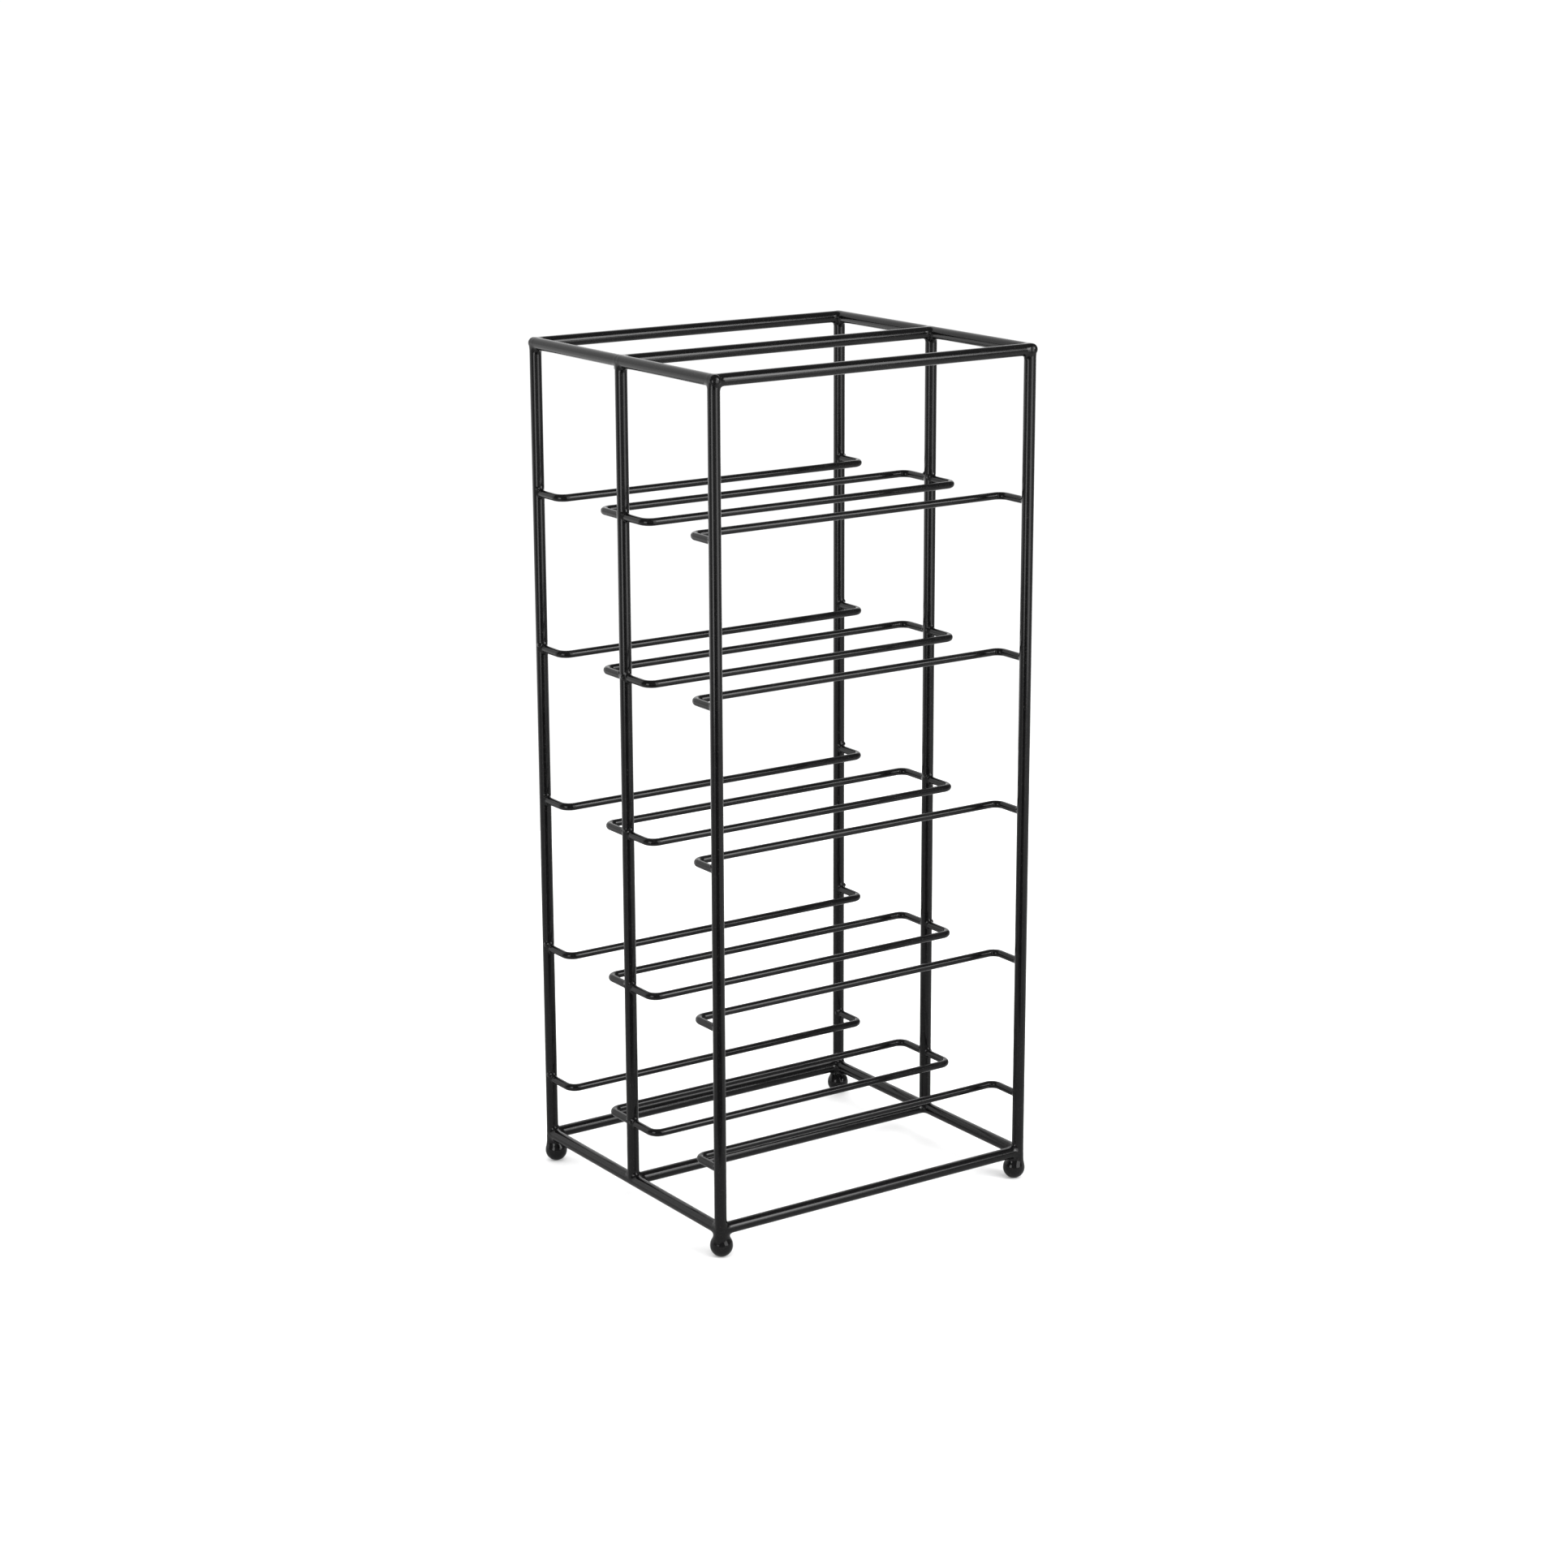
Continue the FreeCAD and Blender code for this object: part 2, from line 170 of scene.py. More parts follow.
def made_by(tree, sizes, edge=0.0):
    """Mesh that a tree makes from its named sizes, with the sharp edges taken off."""
    blank = bpy.data.objects.new("blank", bpy.data.meshes.new("blank"))
    bpy.context.scene.collection.objects.link(blank)
    modifier = blank.modifiers.new("tree", "NODES")
    modifier.node_group = tree
    sockets = {item.name: item.identifier for item in tree.interface.items_tree if item.in_out == "INPUT"}
    for label, size in sizes.items():
        modifier[sockets[label]] = size
    if edge:
        bevel = blank.modifiers.new("edge", "BEVEL")
        bevel.width = edge
        bevel.segments = EDGE_STEPS
        bevel.limit_method = "ANGLE"
        bevel.angle_limit = SHARP_ANGLE
    drawn = blank.evaluated_get(bpy.context.evaluated_depsgraph_get())
    mesh = bpy.data.meshes.new_from_object(drawn)
    bpy.data.objects.remove(blank)
    return mesh


def fit_piece(name, mesh, slot, *nodes):
    """Puts a finished mesh on the rack in place of its CAD nodes."""
    mesh.name = name
    piece = bpy.data.objects.new(name, mesh)
    bpy.context.scene.collection.objects.link(piece)
    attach(piece, "root")
    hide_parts(*nodes)
    return piece


def powder_coat(name, roughness, peel, rub):
    """Semi-gloss black powder coat with orange peel, cloudy gloss and dust, rubbed where bottles slide."""
    material = bpy.data.materials.new(name)
    material.use_nodes = True
    bench = Bench(material.node_tree)
    shader = material.node_tree.nodes["Principled BSDF"]
    place = bench.add("ShaderNodeTexCoord", {}, {}, "Object")
    waves = bench.cloud(place, PEEL_SCALE)
    grain = bench.cloud(place, GRAIN_SCALE, 1.0)
    patches = bench.cloud(place, PATCH_SCALE, 3.0)
    dust = bench.ramp(bench.cloud(place, DUST_SCALE, 0.0), 0.74, 0.80)
    film = bench.blend(patches, THIN_FILM, THICK_FILM)
    colour = bench.blend(dust * 0.5, film, DUST_GREY)
    gloss = roughness + (patches - 0.5) * 0.12 + (grain - 0.5) * 0.05 + dust * 0.12
    if rub:
        stretched = bench.vector("MULTIPLY", place, STREAK_STRETCH)
        streaks = bench.ramp(bench.cloud(stretched, STREAK_SCALE, 3.0), 0.47, 0.72)
        normal = bench.add("ShaderNodeNewGeometry", {}, {}, "Normal")
        upward = bench.ramp(bench.vector("DOT_PRODUCT", normal, UP), 0.35, 0.85)
        worn = streaks * upward * bench.ramp(patches, 0.38, 0.62)
        colour = bench.blend(worn * rub, colour, RUBBED_GREY)
        gloss = gloss + worn * (0.14 * rub)
    height = waves * 0.75 + grain * 0.25
    bump = bench.add("ShaderNodeBump", {}, {"Strength": 1.0, "Distance": peel, "Height": height})
    for label, wire in {"Base Color": colour, "Roughness": gloss, "Normal": bump}.items():
        material.node_tree.links.new(wire.socket, shader.inputs[label])
    shader.inputs["IOR"].default_value = COAT_IOR
    return material


def straight_rod_tree():
    """Round rod along a straight line, flat at both ends."""
    bench, size = new_tree("straight rod", {"Start": "vector", "End": "vector", "Rod Radius": "float",
                                            "Sides": "count", "Finish": "material"})
    line = bench.add("GeometryNodeCurvePrimitiveLine", {}, {"Start": size["Start"], "End": size["End"]})
    section = bench.add("GeometryNodeCurvePrimitiveCircle", {},
                        {"Resolution": size["Sides"], "Radius": size["Rod Radius"]})
    rod = bench.add("GeometryNodeCurveToMesh", {},
                    {"Curve": line, "Profile Curve": section, "Fill Caps": True})
    return close_tree(bench, rod, size["Finish"])


black_coat = powder_coat("black_coat", roughness=0.14, peel=0.012 * MILLIMETRE, rub=0.0)
straight_rod = straight_rod_tree()


def rod_in(node):
    """Start, end and radius of the straight rod that fills a CAD node's box."""
    low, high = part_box(node)
    spans = high - low
    along = max(range(3), key=lambda axis: spans[axis])
    start = (low + high) / 2
    end = start.copy()
    start[along] = low[along]
    end[along] = high[along]
    return start, end, min(spans) / 2


straight_rods = [f"{level}_rail_{place}" for level in ("top", "base") for place in RAIL_PLACES]
straight_rods += [f"post_{place}" for place in POST_PLACES]
for node in straight_rods:
    start, end, radius = rod_in(node)
    mesh = made_by(straight_rod, {"Start": start, "End": end, "Rod Radius": radius, "Sides": ROD_SIDES,
                                  "Finish": black_coat},
                   ROUNDED_EDGE if node in ROUNDED_RAILS else SAWN_EDGE)
    fit_piece(f"coated_{node}", mesh, "black_coat", node)


# Ball feet
# Four solid steel feet, each turned as one piece: a 15 mm ball with a small flat to stand on, hollowed in to
# a short neck that is welded under the corner post of the base frame.

FOOT_SIDES = 96
FOOT_FLAT = 2.25 * MILLIMETRE
FOOT_NECK = 4.1 * MILLIMETRE
FOOT_HOLLOW = 3.0 * MILLIMETRE
FOOT_NECK_TOP = 13.2 * MILLIMETRE
FOOT_NECK_TIP = 1.0 * MILLIMETRE
FOOT_TAPER = 0.985
FOOT_TIP_TAPER = 0.8
BALL_STEPS = 40
HOLLOW_STEPS = 8
FOOT_PLACES = ("front_left", "front_right", "back_left", "back_right")


def foot_outline(ball):
    """Radius and height of the foot from the edge of its flat to the top of its neck."""
    centre = math.sqrt(ball ** 2 - FOOT_FLAT ** 2)
    hollow_height = centre + math.sqrt((ball + FOOT_HOLLOW) ** 2 - (FOOT_NECK + FOOT_HOLLOW) ** 2)
    join = math.atan2(hollow_height - centre, FOOT_NECK + FOOT_HOLLOW)
    first = math.atan2(-centre, FOOT_FLAT)
    outline = []
    for step in range(BALL_STEPS + 1):
        turn = first + (join - first) * step / BALL_STEPS
        outline.append((ball * math.cos(turn), centre + ball * math.sin(turn)))
    for step in range(1, HOLLOW_STEPS + 1):
        turn = join * (1 - step / HOLLOW_STEPS)
        outline.append((FOOT_NECK + FOOT_HOLLOW - FOOT_HOLLOW * math.cos(turn),
                        hollow_height - FOOT_HOLLOW * math.sin(turn)))
    outline.append((FOOT_NECK * FOOT_TAPER, FOOT_NECK_TOP))
    outline.append((FOOT_NECK * FOOT_TIP_TAPER, FOOT_NECK_TOP + FOOT_NECK_TIP))
    return outline


def turned(outline, middle, sides):
    """Closed mesh with an outline turned about the upright line through middle."""
    shape = bmesh.new()
    rings = []
    for radius, height in outline:
        rings.append([shape.verts.new((middle.x + radius * math.cos(math.tau * side / sides),
                                       middle.y + radius * math.sin(math.tau * side / sides), height))
                      for side in range(sides)])
    for below, above in zip(rings, rings[1:]):
        for side in range(sides):
            after = (side + 1) % sides
            shape.faces.new((below[side], below[after], above[after], above[side]))
    for ring in (rings[0], rings[-1]):
        pole = shape.verts.new((middle.x, middle.y, ring[0].co.z))
        for side in range(sides):
            shape.faces.new((ring[side], ring[(side + 1) % sides], pole))
    bmesh.ops.recalc_face_normals(shape, faces=shape.faces)
    mesh = bpy.data.meshes.new("turned")
    shape.to_mesh(mesh)
    shape.free()
    mesh.shade_smooth()
    return mesh


for place in FOOT_PLACES:
    low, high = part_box(f"foot_{place}")
    middle = (low + high) / 2
    mesh = turned(foot_outline((high.x - low.x) / 2), middle, FOOT_SIDES)
    mesh.materials.append(black_coat)
    fit_piece(f"coated_foot_{place}", mesh, "black_coat", f"foot_{place}")


# Shelf rods
# Twenty lengths of 5 mm rod, each bent twice into a wide U. Its two legs are welded to a front and a back
# post, and a bottle lies on the long run of one rod and the run of its partner.

SHELF_BEND = 6.5 * MILLIMETRE
SHELF_SIDES = 48
BEND_STEPS = 14
LEVELS = (1, 2, 3, 4, 5)
BAYS = ("left", "right")
POSITIONS = ("outer", "inner")


def bent_rod_tree():
    """Round rod bent at the two inner corners of an open path of four points."""
    bench, size = new_tree("bent rod", {"Front End": "vector", "Front Bend": "vector", "Back Bend": "vector",
                                        "Back End": "vector", "Bend Radius": "float", "Bend Steps": "count",
                                        "Rod Radius": "float", "Sides": "count", "Finish": "material"})
    loop = bench.add("GeometryNodeCurvePrimitiveQuadrilateral", {"mode": "POINTS"},
                     {"Point 1": size["Front End"], "Point 2": size["Front Bend"],
                      "Point 3": size["Back Bend"], "Point 4": size["Back End"]})
    path = bench.add("GeometryNodeSetSplineCyclic", {}, {"Geometry": loop, "Cyclic": False})
    bent = bench.add("GeometryNodeFilletCurve", {"mode": "POLY"},
                     {"Curve": path, "Radius": size["Bend Radius"], "Count": size["Bend Steps"]})
    section = bench.add("GeometryNodeCurvePrimitiveCircle", {},
                        {"Resolution": size["Sides"], "Radius": size["Rod Radius"]})
    rod = bench.add("GeometryNodeCurveToMesh", {},
                    {"Curve": bent, "Profile Curve": section, "Fill Caps": True})
    return close_tree(bench, rod, size["Finish"])


bent_rod = bent_rod_tree()
rubbed_coat = powder_coat("rubbed_black_coat", roughness=0.13, peel=0.012 * MILLIMETRE, rub=1.0)

for level in LEVELS:
    for bay in BAYS:
        for position in POSITIONS:
            node = f"shelf_rod_{level}_{bay}_{position}"
            low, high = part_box(node)
            radius = (high.z - low.z) / 2
            height = (high.z + low.z) / 2
            legs_point_right = (bay == "left") == (position == "outer")
            leg_end, run = (low.x, high.x - radius) if legs_point_right else (high.x, low.x + radius)
            front, back = low.y + radius, high.y - radius
            route = {"Front End": (leg_end, front, height), "Front Bend": (run, front, height),
                     "Back Bend": (run, back, height), "Back End": (leg_end, back, height)}
            rod = {"Bend Radius": SHELF_BEND, "Bend Steps": BEND_STEPS, "Rod Radius": radius,
                   "Sides": SHELF_SIDES, "Finish": rubbed_coat}
            mesh = made_by(bent_rod, route | rod, SAWN_EDGE)
            fit_piece(f"coated_{node}", mesh, "black_coat", node)


# Welds
# Every joint is a weld run that was dressed by hand, so a smooth hollow joins the rods, with a few small
# lumps left in it. The powder has flowed thicker and glossier over it.

UNDER_COAT = 0.03 * MILLIMETRE
FULL_DEPTH = 0.25 * MILLIMETRE
SPREAD = 0.6
HOLLOW_CHANGE = 2.5 * MILLIMETRE
LUMP_MIDDLE = 0.42
dresser = random.Random(11)


def capsule(bench, place, start, end, radius):
    """Distance from a place to a round-ended rod, and the way straight out of the rod at that place."""
    along = bench.vector("SUBTRACT", end, start)
    reach = bench.vector("SUBTRACT", place, start)
    share = bench.vector("DOT_PRODUCT", reach, along) / bench.vector("DOT_PRODUCT", along, along)
    share = bench.math("MINIMUM", bench.math("MAXIMUM", share, 0.0), 1.0)
    offset = bench.vector("SUBTRACT", reach, bench.vector("SCALE", along, scale=share))
    return bench.vector("LENGTH", offset) - radius, bench.vector("NORMALIZE", offset)


def hollowed(bench, one, other, hollow):
    """Skin over two rods, hollowed where they meet at an angle and plain where one runs into the other."""
    (near, way), (near_other, way_other) = one, other
    turn = bench.math("MINIMUM", 1.0 - bench.vector("DOT_PRODUCT", way, way_other), 1.0)
    return bench.math("SMOOTH_MIN", near, near_other, hollow * bench.math("POWER", turn, SPREAD))


def weld_tree():
    """Weld where one or two rods are butted on another: a skin drawn smoothly round them and a round bead."""
    rods = ("Through", "First", "Second")
    inputs = {"Middle": "vector"}
    for rod in rods:
        inputs.update({f"{rod} Start": "vector", f"{rod} End": "vector", f"{rod} Radius": "float"})
    inputs.update({"Upper Hollow": "float", "Lower Hollow": "float", "Corner Hollow": "float",
                   "Bead Place": "vector", "Bead Radius": "float", "Bead Hollow": "float",
                   "Lump Height": "float", "Lump Size": "float", "Low Corner": "vector",
                   "High Corner": "vector", "Cells": "vector", "Finish": "material"})
    bench, size = new_tree("dressed weld", inputs)
    place = bench.add("GeometryNodeInputPosition")
    through, first, second = (
        capsule(bench, place, size[f"{rod} Start"], size[f"{rod} End"], size[f"{rod} Radius"])
        for rod in rods)
    from_middle = bench.vector("SUBTRACT", place, size["Middle"])
    above = bench.ramp(bench.vector("DOT_PRODUCT", from_middle, UP), -HOLLOW_CHANGE, HOLLOW_CHANGE)
    hollow = size["Lower Hollow"] + above * (size["Upper Hollow"] - size["Lower Hollow"])
    on_first = hollowed(bench, through, first, hollow)
    on_second = hollowed(bench, through, second, hollow)
    between = hollowed(bench, first, second, size["Corner Hollow"])
    skin = bench.math("MINIMUM", bench.math("MINIMUM", on_first, on_second), between)
    bare = bench.math("MINIMUM", bench.math("MINIMUM", through[0], first[0]), second[0])
    filled = bench.math("MINIMUM", (bare - skin) / FULL_DEPTH, 1.0)
    lumps = bench.cloud(place, 1.0 / size["Lump Size"], 1.0) - LUMP_MIDDLE
    skin = skin - lumps * filled * size["Lump Height"] * 2.0
    from_bead = bench.vector("SUBTRACT", place, size["Bead Place"])
    bead = (bench.vector("LENGTH", from_bead) - size["Bead Radius"], bench.vector("NORMALIZE", from_bead))
    skin = hollowed(bench, (skin, through[1]), bead, size["Bead Hollow"])
    cells = bench.tree.nodes.new("ShaderNodeSeparateXYZ")
    bench.tree.links.new(size["Cells"].socket, cells.inputs[0])
    counts = [Wire(bench, output) for output in cells.outputs]
    block = bench.add("GeometryNodeVolumeCube", {}, {"Density": 0.5 - skin / MILLIMETRE, "Background": 0.0,
                                                     "Min": size["Low Corner"], "Max": size["High Corner"],
                                                     "Resolution X": counts[0], "Resolution Y": counts[1],
                                                     "Resolution Z": counts[2]})
    shell = bench.add("GeometryNodeVolumeToMesh", {}, {"Volume": block, "Threshold": 0.5})
    return close_tree(bench, shell, size["Finish"])


dressed_weld = weld_tree()
weld_coat = powder_coat("coat_over_weld", roughness=0.11, peel=0.016 * MILLIMETRE, rub=0.0)


def weld_at(middle, rods, low_reach, high_reach, cell, upper, lower, corner, bead, lump, lump_size):
    """Mesh of one joint. Rods are (start, end, radius), first the one that the others are butted on."""
    rods = list(rods) + [rods[1]] * (3 - len(rods))
    low_corner = middle - Vector(low_reach)
    high_corner = middle + Vector(high_reach)
    sizes = {"Middle": middle, "Upper Hollow": upper, "Lower Hollow": lower, "Corner Hollow": corner,
             "Bead Place": bead[0], "Bead Radius": bead[1], "Bead Hollow": bead[2],
             "Lump Height": lump, "Lump Size": lump_size, "Low Corner": low_corner,
             "High Corner": high_corner, "Cells": (high_corner - low_corner) / cell, "Finish": weld_coat}
    for label, (start, end, radius) in zip(("Through", "First", "Second"), rods):
        sizes.update({f"{label} Start": start, f"{label} End": end, f"{label} Radius": radius - UNDER_COAT})
    return made_by(dressed_weld, sizes)


def joined(meshes):
    """One mesh from several that keep their places."""
    shape = bmesh.new()
    for mesh in meshes:
        shape.from_mesh(mesh)
        bpy.data.meshes.remove(mesh)
    whole = bpy.data.meshes.new("joined")
    shape.to_mesh(whole)
    shape.free()
    whole.materials.append(weld_coat)
    return whole


# Welds of the two frames
# Each corner of a frame is one joint of post, end rail and side rail, and each middle one joins post, end
# rail and middle rail. Under the base frame the same weld runs down over the ball of the foot, like a drop.

SIDES = (("left", -1), ("middle", 0), ("right", 1))
ENDS = (("front", -1), ("back", 1))
FRAME_CELL = 0.34 * MILLIMETRE
FRAME_HOLLOW = 5.2 * MILLIMETRE
UNDER_RAIL_HOLLOW = 7.0 * MILLIMETRE
BALL_HOLLOW = 8.6 * MILLIMETRE
STUB = 30 * MILLIMETRE
FRAME_REACH = 12.5 * MILLIMETRE
SKIRT = 1.6 * MILLIMETRE
BALL_SKIN_LOW = 6.0 * MILLIMETRE
BEAD_HOLLOW = 1.5 * MILLIMETRE
FRAME_BEAD_RISE = 1.2
FRAME_BEAD_SUNK = 0.3
FRAME_LUMP = 0.09 * MILLIMETRE
FRAME_LUMP_SIZE = 2.4 * MILLIMETRE


def frame_joint(level, side_name, side, end_name, end):
    """Joint of a post with the rails of the top or base frame."""
    low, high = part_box(f"post_{end_name}_{side_name}")
    rail_low, rail_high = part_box(f"{level}_rail_{end_name}")
    radius = (high.x - low.x) / 2
    middle = Vector(((low.x + high.x) / 2, (low.y + high.y) / 2, (rail_low.z + rail_high.z) / 2))
    up = -1 if level == "top" else 1
    post = (middle.copy(), middle + Vector((0, 0, up * STUB)), radius)
    side_rail = (middle.copy(), middle - Vector((0, end * STUB, 0)), radius)
    end_rail = (middle - Vector((STUB, 0, 0)), middle + Vector((STUB, 0, 0)), radius)
    skirt = radius + SKIRT
    low_reach = Vector((FRAME_REACH if side >= 0 else skirt, FRAME_REACH if end > 0 else skirt, skirt))
    high_reach = Vector((FRAME_REACH if side <= 0 else skirt, FRAME_REACH if end < 0 else skirt, skirt))
    (low_reach if up < 0 else high_reach)[2] = FRAME_REACH
    across = dresser.uniform(0.5, 1.1)
    bead_way = Vector((math.sin(across) * dresser.choice((-1, 1)), end * math.cos(across), 0))
    bead_radius = dresser.uniform(1.0, 1.7) * MILLIMETRE
    bead_rise = Vector((0, 0, up * radius * FRAME_BEAD_RISE))
    bead_place = middle + bead_way * (radius - FRAME_BEAD_SUNK * bead_radius) + bead_rise
    bead = (bead_place, bead_radius, BEAD_HOLLOW)
    under = FRAME_HOLLOW
    if side == 0:
        rods = [end_rail, post, side_rail]
    elif level == "top":
        tip = Vector(((rail_high.x if side > 0 else rail_low.x) - side * radius, middle.y, middle.z))
        rods = [(tip, middle - Vector((side * STUB, 0, 0)), radius), post, side_rail]
        bead = (middle, 0.0, 0.0)
    else:
        foot_low, foot_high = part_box(f"foot_{end_name}_{side_name}")
        foot = (foot_low + foot_high) / 2
        ball = (foot_high.x - foot_low.x) / 2
        half_end_rail = (middle.copy(), middle - Vector((side * STUB, 0, 0)), radius)
        rods = [(Vector((middle.x, middle.y, ball)), post[1], radius), half_end_rail, side_rail]
        bead = (Vector((foot.x, foot.y, ball)), ball - UNDER_COAT, BALL_HOLLOW)
        under = UNDER_RAIL_HOLLOW
        low_reach = Vector((FRAME_REACH, FRAME_REACH, middle.z - BALL_SKIN_LOW))
    return weld_at(middle, rods, low_reach, high_reach, FRAME_CELL, FRAME_HOLLOW, under, FRAME_HOLLOW,
                   bead, FRAME_LUMP, FRAME_LUMP_SIZE)


for level in ("top", "base"):
    meshes = [frame_joint(level, side_name, side, end_name, end)
              for end_name, end in ENDS for side_name, side in SIDES]
    fit_piece(f"dressed_weld_{level}_frame", joined(meshes), "coat_over_weld", f"weld_{level}_frame")


# Welds of the shelves
# Both legs of each shelf rod are butted on a post and welded all round, with more weld on top than
# underneath and a small bead where the run was stopped.

SHELF_CELL = 0.28 * MILLIMETRE
LEG_HOLLOW_OVER = 4.2 * MILLIMETRE
LEG_HOLLOW_UNDER = 2.4 * MILLIMETRE
LEG_REACH = 7.5 * MILLIMETRE
LEG_NEAR = 1.0 * MILLIMETRE
LEG_BEAD_SUNK = 0.25
LEG_LUMP = 0.16 * MILLIMETRE
LEG_LUMP_SIZE = 1.9 * MILLIMETRE


def leg_joint(level, bay, position, end_name, end):
    """Joint of one leg of a shelf rod on its post."""
    side_name = bay if position == "outer" else "middle"
    post_low, post_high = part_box(f"post_{end_name}_{side_name}")
    low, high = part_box(f"shelf_rod_{level}_{bay}_{position}")
    post_radius = (post_high.x - post_low.x) / 2
    leg_radius = (high.z - low.z) / 2
    middle = Vector(((post_low.x + post_high.x) / 2, (post_low.y + post_high.y) / 2, (low.z + high.z) / 2))
    way = 1 if (bay == "left") == (position == "outer") else -1
    post = (middle - Vector((0, 0, STUB)), middle + Vector((0, 0, STUB)), post_radius)
    leg = (middle.copy(), middle + Vector((way * STUB, 0, 0)), leg_radius)
    around = dresser.uniform(0.5, 1.05)
    bead_side = end if end < 0 else dresser.choice((-1, 1))
    bead_radius = dresser.uniform(0.8, 1.7) * MILLIMETRE
    out = post_radius - LEG_BEAD_SUNK * bead_radius
    bead = (middle + Vector((way * out * math.sin(around), bead_side * out * math.cos(around),
                             dresser.uniform(0.6, 3.4) * MILLIMETRE)), bead_radius, BEAD_HOLLOW)
    far, across = post_radius + LEG_REACH, post_radius + SKIRT
    low_reach = (LEG_NEAR if way > 0 else far, across, LEG_REACH)
    high_reach = (far if way > 0 else LEG_NEAR, across, LEG_REACH)
    over = LEG_HOLLOW_OVER * dresser.uniform(0.85, 1.15)
    under = LEG_HOLLOW_UNDER * dresser.uniform(0.8, 1.25)
    return weld_at(middle, [post, leg], low_reach, high_reach, SHELF_CELL, over, under, 0.0, bead,
                   LEG_LUMP, LEG_LUMP_SIZE)


for level in LEVELS:
    meshes = [leg_joint(level, bay, position, end_name, end)
              for bay in BAYS for position in POSITIONS for end_name, end in ENDS]
    fit_piece(f"dressed_weld_shelf_{level}", joined(meshes), "coat_over_weld", f"weld_shelf_{level}")


# Studio
# The rack stands on a wide pale floor in white light. Tall soft boxes stand round it, and a grey sheet and a
# dark card that only its gloss can see keep the middle of every rod black.

FLOOR_HALF = 60.0
FLOOR_WHITE = 0.86
SHEET_GREY = 0.42
AIR_STRENGTH = 1.2
AIR_IN_GLOSS = 0.2
CARD_HEIGHT = 0.001
CARD_NEAR, CARD_NEAR_HALF = 0.33, 0.22
CARD_FAR, CARD_FAR_HALF = 2.4, 0.85
CAMERA_SIDE = 55.5
RACK_MIDDLE = Vector((0.0016, 0.0004, 0.2752))
TILTED_ABOVE = 1.0


def matt(name, grey, roughness=0.5):
    """Paint or cloth with no gloss at all."""
    material = bpy.data.materials.new(name)
    material.use_nodes = True
    shader = material.node_tree.nodes["Principled BSDF"]
    shader.inputs["Base Color"].default_value = (grey, grey, grey, 1.0)
    shader.inputs["Roughness"].default_value = roughness
    shader.inputs["Specular IOR Level"].default_value = 0.0
    return material


def flat_stage(name, corners, material):
    """One flat face that belongs to the studio."""
    mesh = bpy.data.meshes.new(name)
    mesh.from_pydata(corners, [], [(0, 1, 2, 3)])
    mesh.materials.append(material)
    sheet = bpy.data.objects.new(name, mesh)
    bpy.context.scene.collection.objects.link(sheet)
    return sheet


def square(half, height):
    """Corners of a level square round the rack."""
    return [(-half, -half, height), (half, -half, height), (half, half, height), (-half, half, height)]


def for_gloss_only(card):
    """Hides a card from everything but the gloss of the rods."""
    card.visible_camera = False
    card.visible_diffuse = False
    card.visible_shadow = False


def studio_air():
    """White all round for the floor and the camera, and dim in the gloss of the rods."""
    world = bpy.data.worlds.new("studio_air")
    bpy.context.scene.world = world
    world.use_nodes = True
    bench = Bench(world.node_tree)
    world.node_tree.nodes.clear()
    gloss = bench.add("ShaderNodeLightPath", {}, {}, "Is Glossy Ray")
    white = bench.add("ShaderNodeBackground", {}, {"Color": (1.0, 1.0, 1.0, 1.0), "Strength": AIR_STRENGTH})
    dim = bench.add("ShaderNodeBackground", {}, {"Color": (1.0, 1.0, 1.0, 1.0), "Strength": AIR_IN_GLOSS})
    both = bench.add("ShaderNodeMixShader", {}, {0: gloss, 1: white, 2: dim})
    bench.add("ShaderNodeOutputWorld", {}, {"Surface": both})


def soft_box(name, azimuth, distance, height, width, tall, radiance):
    """Flat white light of even brightness that faces the rack from a compass angle, with 0 at the front."""
    turn = math.radians(azimuth)
    light = bpy.data.lights.new(name, "AREA")
    light.shape = "RECTANGLE"
    light.size, light.size_y = width, tall
    light.energy = radiance * math.pi * width * tall
    box = bpy.data.objects.new(name, light)
    box.location = (math.sin(turn) * distance, -math.cos(turn) * distance, height)
    away = Vector((box.location.x, box.location.y, 0.0))
    if height > TILTED_ABOVE:
        away = box.location - RACK_MIDDLE
    box.rotation_euler = away.to_track_quat("Z", "Y").to_euler()
    box.visible_camera = False
    bpy.context.scene.collection.objects.link(box)


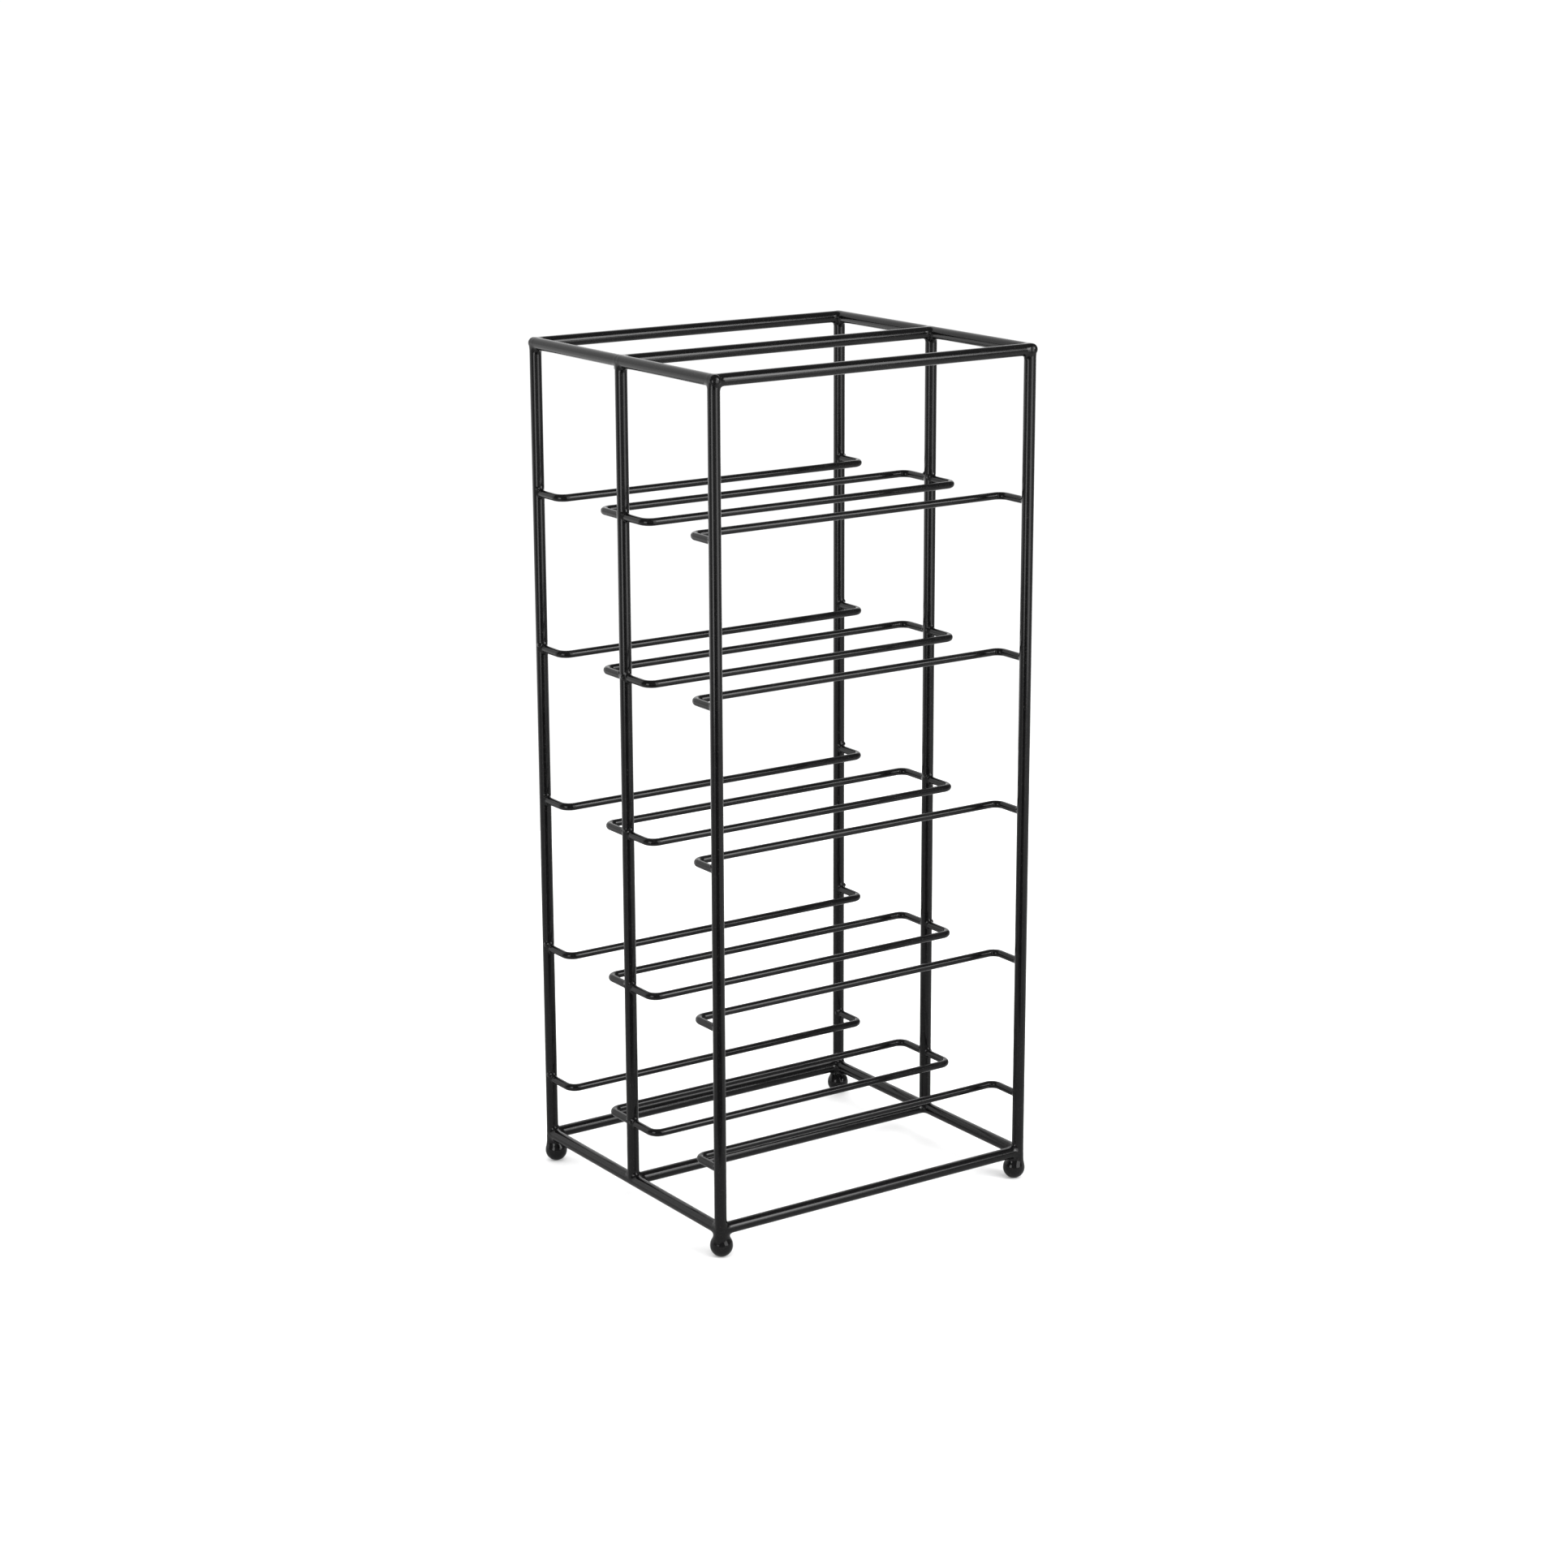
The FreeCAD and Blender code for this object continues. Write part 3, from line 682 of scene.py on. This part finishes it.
def card_corners():
    """Corners of a floor card that widens away from the rack towards the camera."""
    turn = math.radians(CAMERA_SIDE)
    forward = Vector((math.sin(turn), -math.cos(turn), 0.0))
    right = Vector((math.cos(turn), math.sin(turn), 0.0))
    up = Vector((0.0, 0.0, CARD_HEIGHT))
    ends = ((CARD_NEAR, -CARD_NEAR_HALF), (CARD_FAR, -CARD_FAR_HALF), (CARD_FAR, CARD_FAR_HALF),
            (CARD_NEAR, CARD_NEAR_HALF))
    return [forward * distance + right * aside + up for distance, aside in ends]


floor_paint = matt("studio_floor_paint", FLOOR_WHITE, roughness=0.9)
flat_stage("studio_floor", square(FLOOR_HALF, 0.0), floor_paint)
studio_air()
soft_box("left_strip", azimuth=CAMERA_SIDE - 33, distance=1.35, height=0.44,
         width=0.50, tall=0.76, radiance=5.3)
soft_box("right_strip", azimuth=CAMERA_SIDE + 49, distance=1.35, height=0.96,
         width=0.85, tall=1.80, radiance=3.8)
soft_box("key_box", azimuth=121, distance=1.7, height=1.02, width=0.5, tall=0.85, radiance=8.6)
soft_box("side_wall", azimuth=-92, distance=0.85, height=0.75, width=3.0, tall=1.5, radiance=1.1)
for_gloss_only(flat_stage("dark_card", card_corners(), matt("dark_card_black", 0.0)))
sheet_cloth = matt("grey_sheet_cloth", SHEET_GREY)
for_gloss_only(flat_stage("grey_sheet", square(FLOOR_HALF, CARD_HEIGHT / 2), sheet_cloth))


# Camera
# It looks down a little on the rack's right front corner, from a bit over two metres.

LENS = 77.26
SENSOR_WIDTH = 36.0
SIGHT_LIMIT = 200.0
CAMERA_PLACE = (1.80017, -1.23434, 0.8575)
CAMERA_TURN = 55.530
CAMERA_DROP = 14.944
CAMERA_ROLL = -0.179

camera_data = bpy.data.cameras.new("camera")
camera_data.sensor_width = SENSOR_WIDTH
camera_data.lens = LENS
camera_data.clip_end = SIGHT_LIMIT
camera = bpy.data.objects.new("camera", camera_data)
camera.location = CAMERA_PLACE
turn = Euler((0, 0, math.radians(CAMERA_TURN))).to_matrix()
tilt = Euler((math.radians(90.0 - CAMERA_DROP), 0, 0)).to_matrix()
roll = Euler((0, 0, math.radians(CAMERA_ROLL))).to_matrix()
camera.rotation_euler = (turn @ tilt @ roll).to_euler()
bpy.context.scene.collection.objects.link(camera)
bpy.context.scene.camera = camera
bpy.context.scene.view_settings.view_transform = "Standard"
